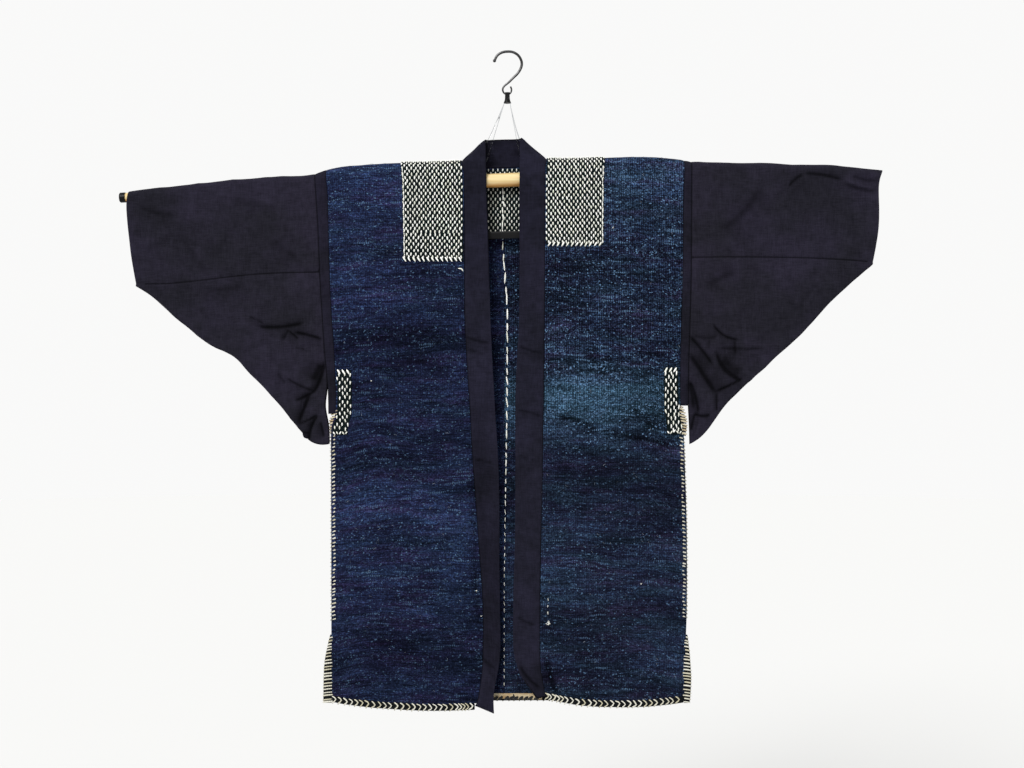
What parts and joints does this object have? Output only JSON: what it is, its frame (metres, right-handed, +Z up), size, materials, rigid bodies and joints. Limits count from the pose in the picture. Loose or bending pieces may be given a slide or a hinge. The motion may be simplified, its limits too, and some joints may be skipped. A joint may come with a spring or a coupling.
{
  "type": "sashiko work jacket on a rod hanger and hook",
  "caption": "Wide-sleeved indigo work jacket with a band collar and stitched patches, hung flat on a rod hanger under a wire hook.",
  "frame": {"origin": "inside top of the hook's arc, where a pin in the wall carries the whole", "axes": "+Z up, +X along the sleeves to the wearer's left, +Y from the jacket's front toward the wall"},
  "size_m": [1.3014, 0.0418, 1.1298],
  "materials": {
    "rag_weave": "thick rag weave in uneven indigo",
    "plain_cotton": "plain dark cotton",
    "stitched_patch": "dark cotton under dense cream running stitch",
    "stitched_edge": "cream overcast stitch on dark binding",
    "pale_tape": "tan cotton tape",
    "wood": "pale varnished wood",
    "black_plastic": "black moulded plastic",
    "black_wire": "glossy black coated wire",
    "clear_line": "clear nylon line"
  },
  "bodies": {
    "root": {"body_right": "rag_weave", "body_left": "rag_weave", "collar": "plain_cotton", "armhole_strip_right": "plain_cotton", "armhole_strip_left": "plain_cotton", "sleeve_upper_right": "plain_cotton", "sleeve_upper_left": "plain_cotton", "sleeve_gusset_right": "plain_cotton", "sleeve_gusset_left": "plain_cotton", "yoke_patch_right": "stitched_patch", "yoke_patch_left": "stitched_patch", "yoke_lining": "stitched_patch", "side_patch_front_right": "stitched_patch", "side_patch_back_right": "stitched_patch", "side_patch_front_left": "stitched_patch", "side_patch_back_left": "stitched_patch", "hem_binding_front_right": "stitched_edge", "hem_binding_front_left": "stitched_edge", "hem_binding_back": "stitched_edge", "vent_binding_front_right": "stitched_edge", "vent_binding_back_right": "stitched_edge", "vent_binding_front_left": "stitched_edge", "vent_binding_back_left": "stitched_edge", "hem_tape_back": "pale_tape", "rod_centre": "wood", "rod_arm_right": "wood", "rod_arm_left": "wood", "arm_cap_right": "black_plastic", "arm_cap_left": "black_plastic", "tie_bar": "black_plastic", "line_clip": "black_plastic", "wall_hook": "black_wire", "hanging_line_right": "clear_line", "hanging_line_left": "clear_line"}
  },
  "joints": []
}
